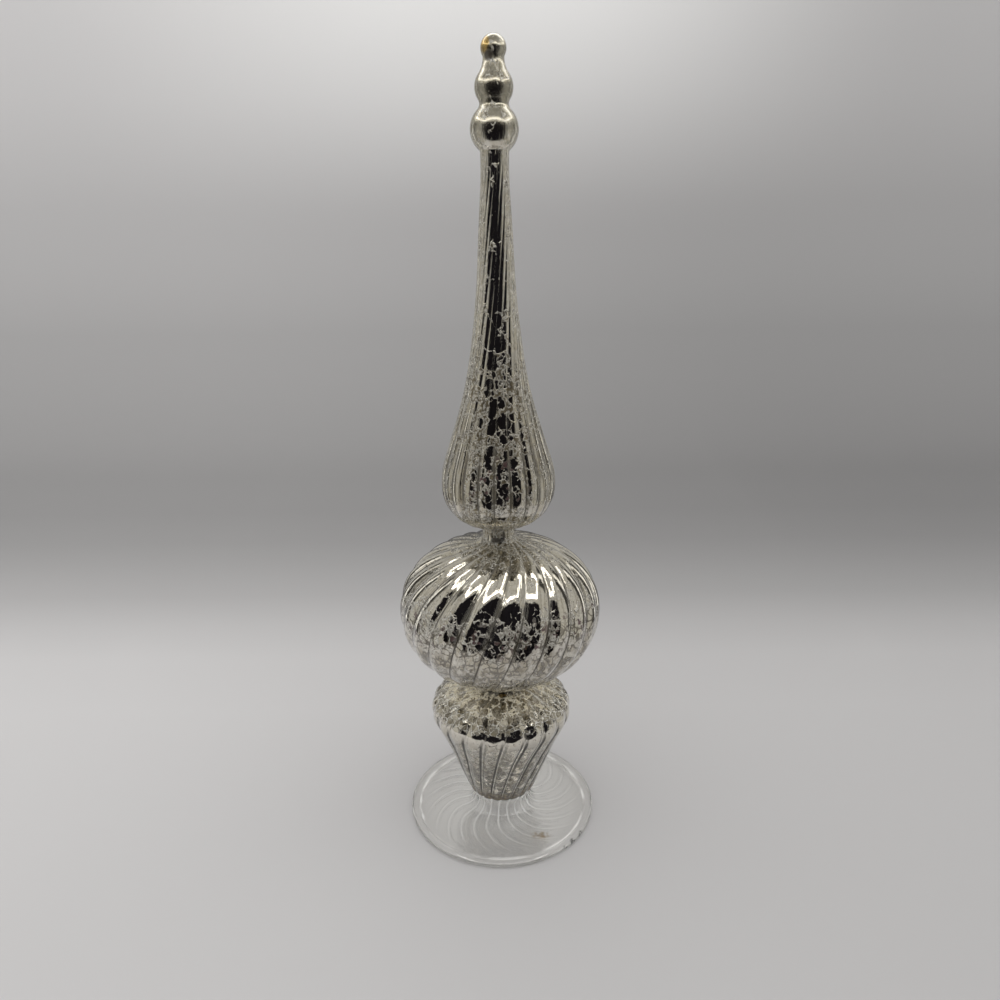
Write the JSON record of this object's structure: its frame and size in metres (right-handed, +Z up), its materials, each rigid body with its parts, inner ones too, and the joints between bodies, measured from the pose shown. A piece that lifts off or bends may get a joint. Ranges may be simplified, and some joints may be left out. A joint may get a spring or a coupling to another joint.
{
  "type": "glass tree topper",
  "caption": "Blown glass finial with twisted ribs: an urn, a globe, a teardrop drawn out to a long stem and closed balls at the tip, on a clear flat foot that is open underneath.",
  "frame": {"origin": "centre of the flat ring under the foot's bead, on the surface that the foot stands on", "axes": "+Z up along the turning axis to the tip, +Y away from the side that the picture shows"},
  "size_m": [0.089, 0.0896, 0.3355],
  "materials": {
    "silvered_glass": "silvered on the inside, clear at the foot"
  },
  "bodies": {
    "root": {"glass_topper": "silvered_glass"}
  },
  "joints": []
}
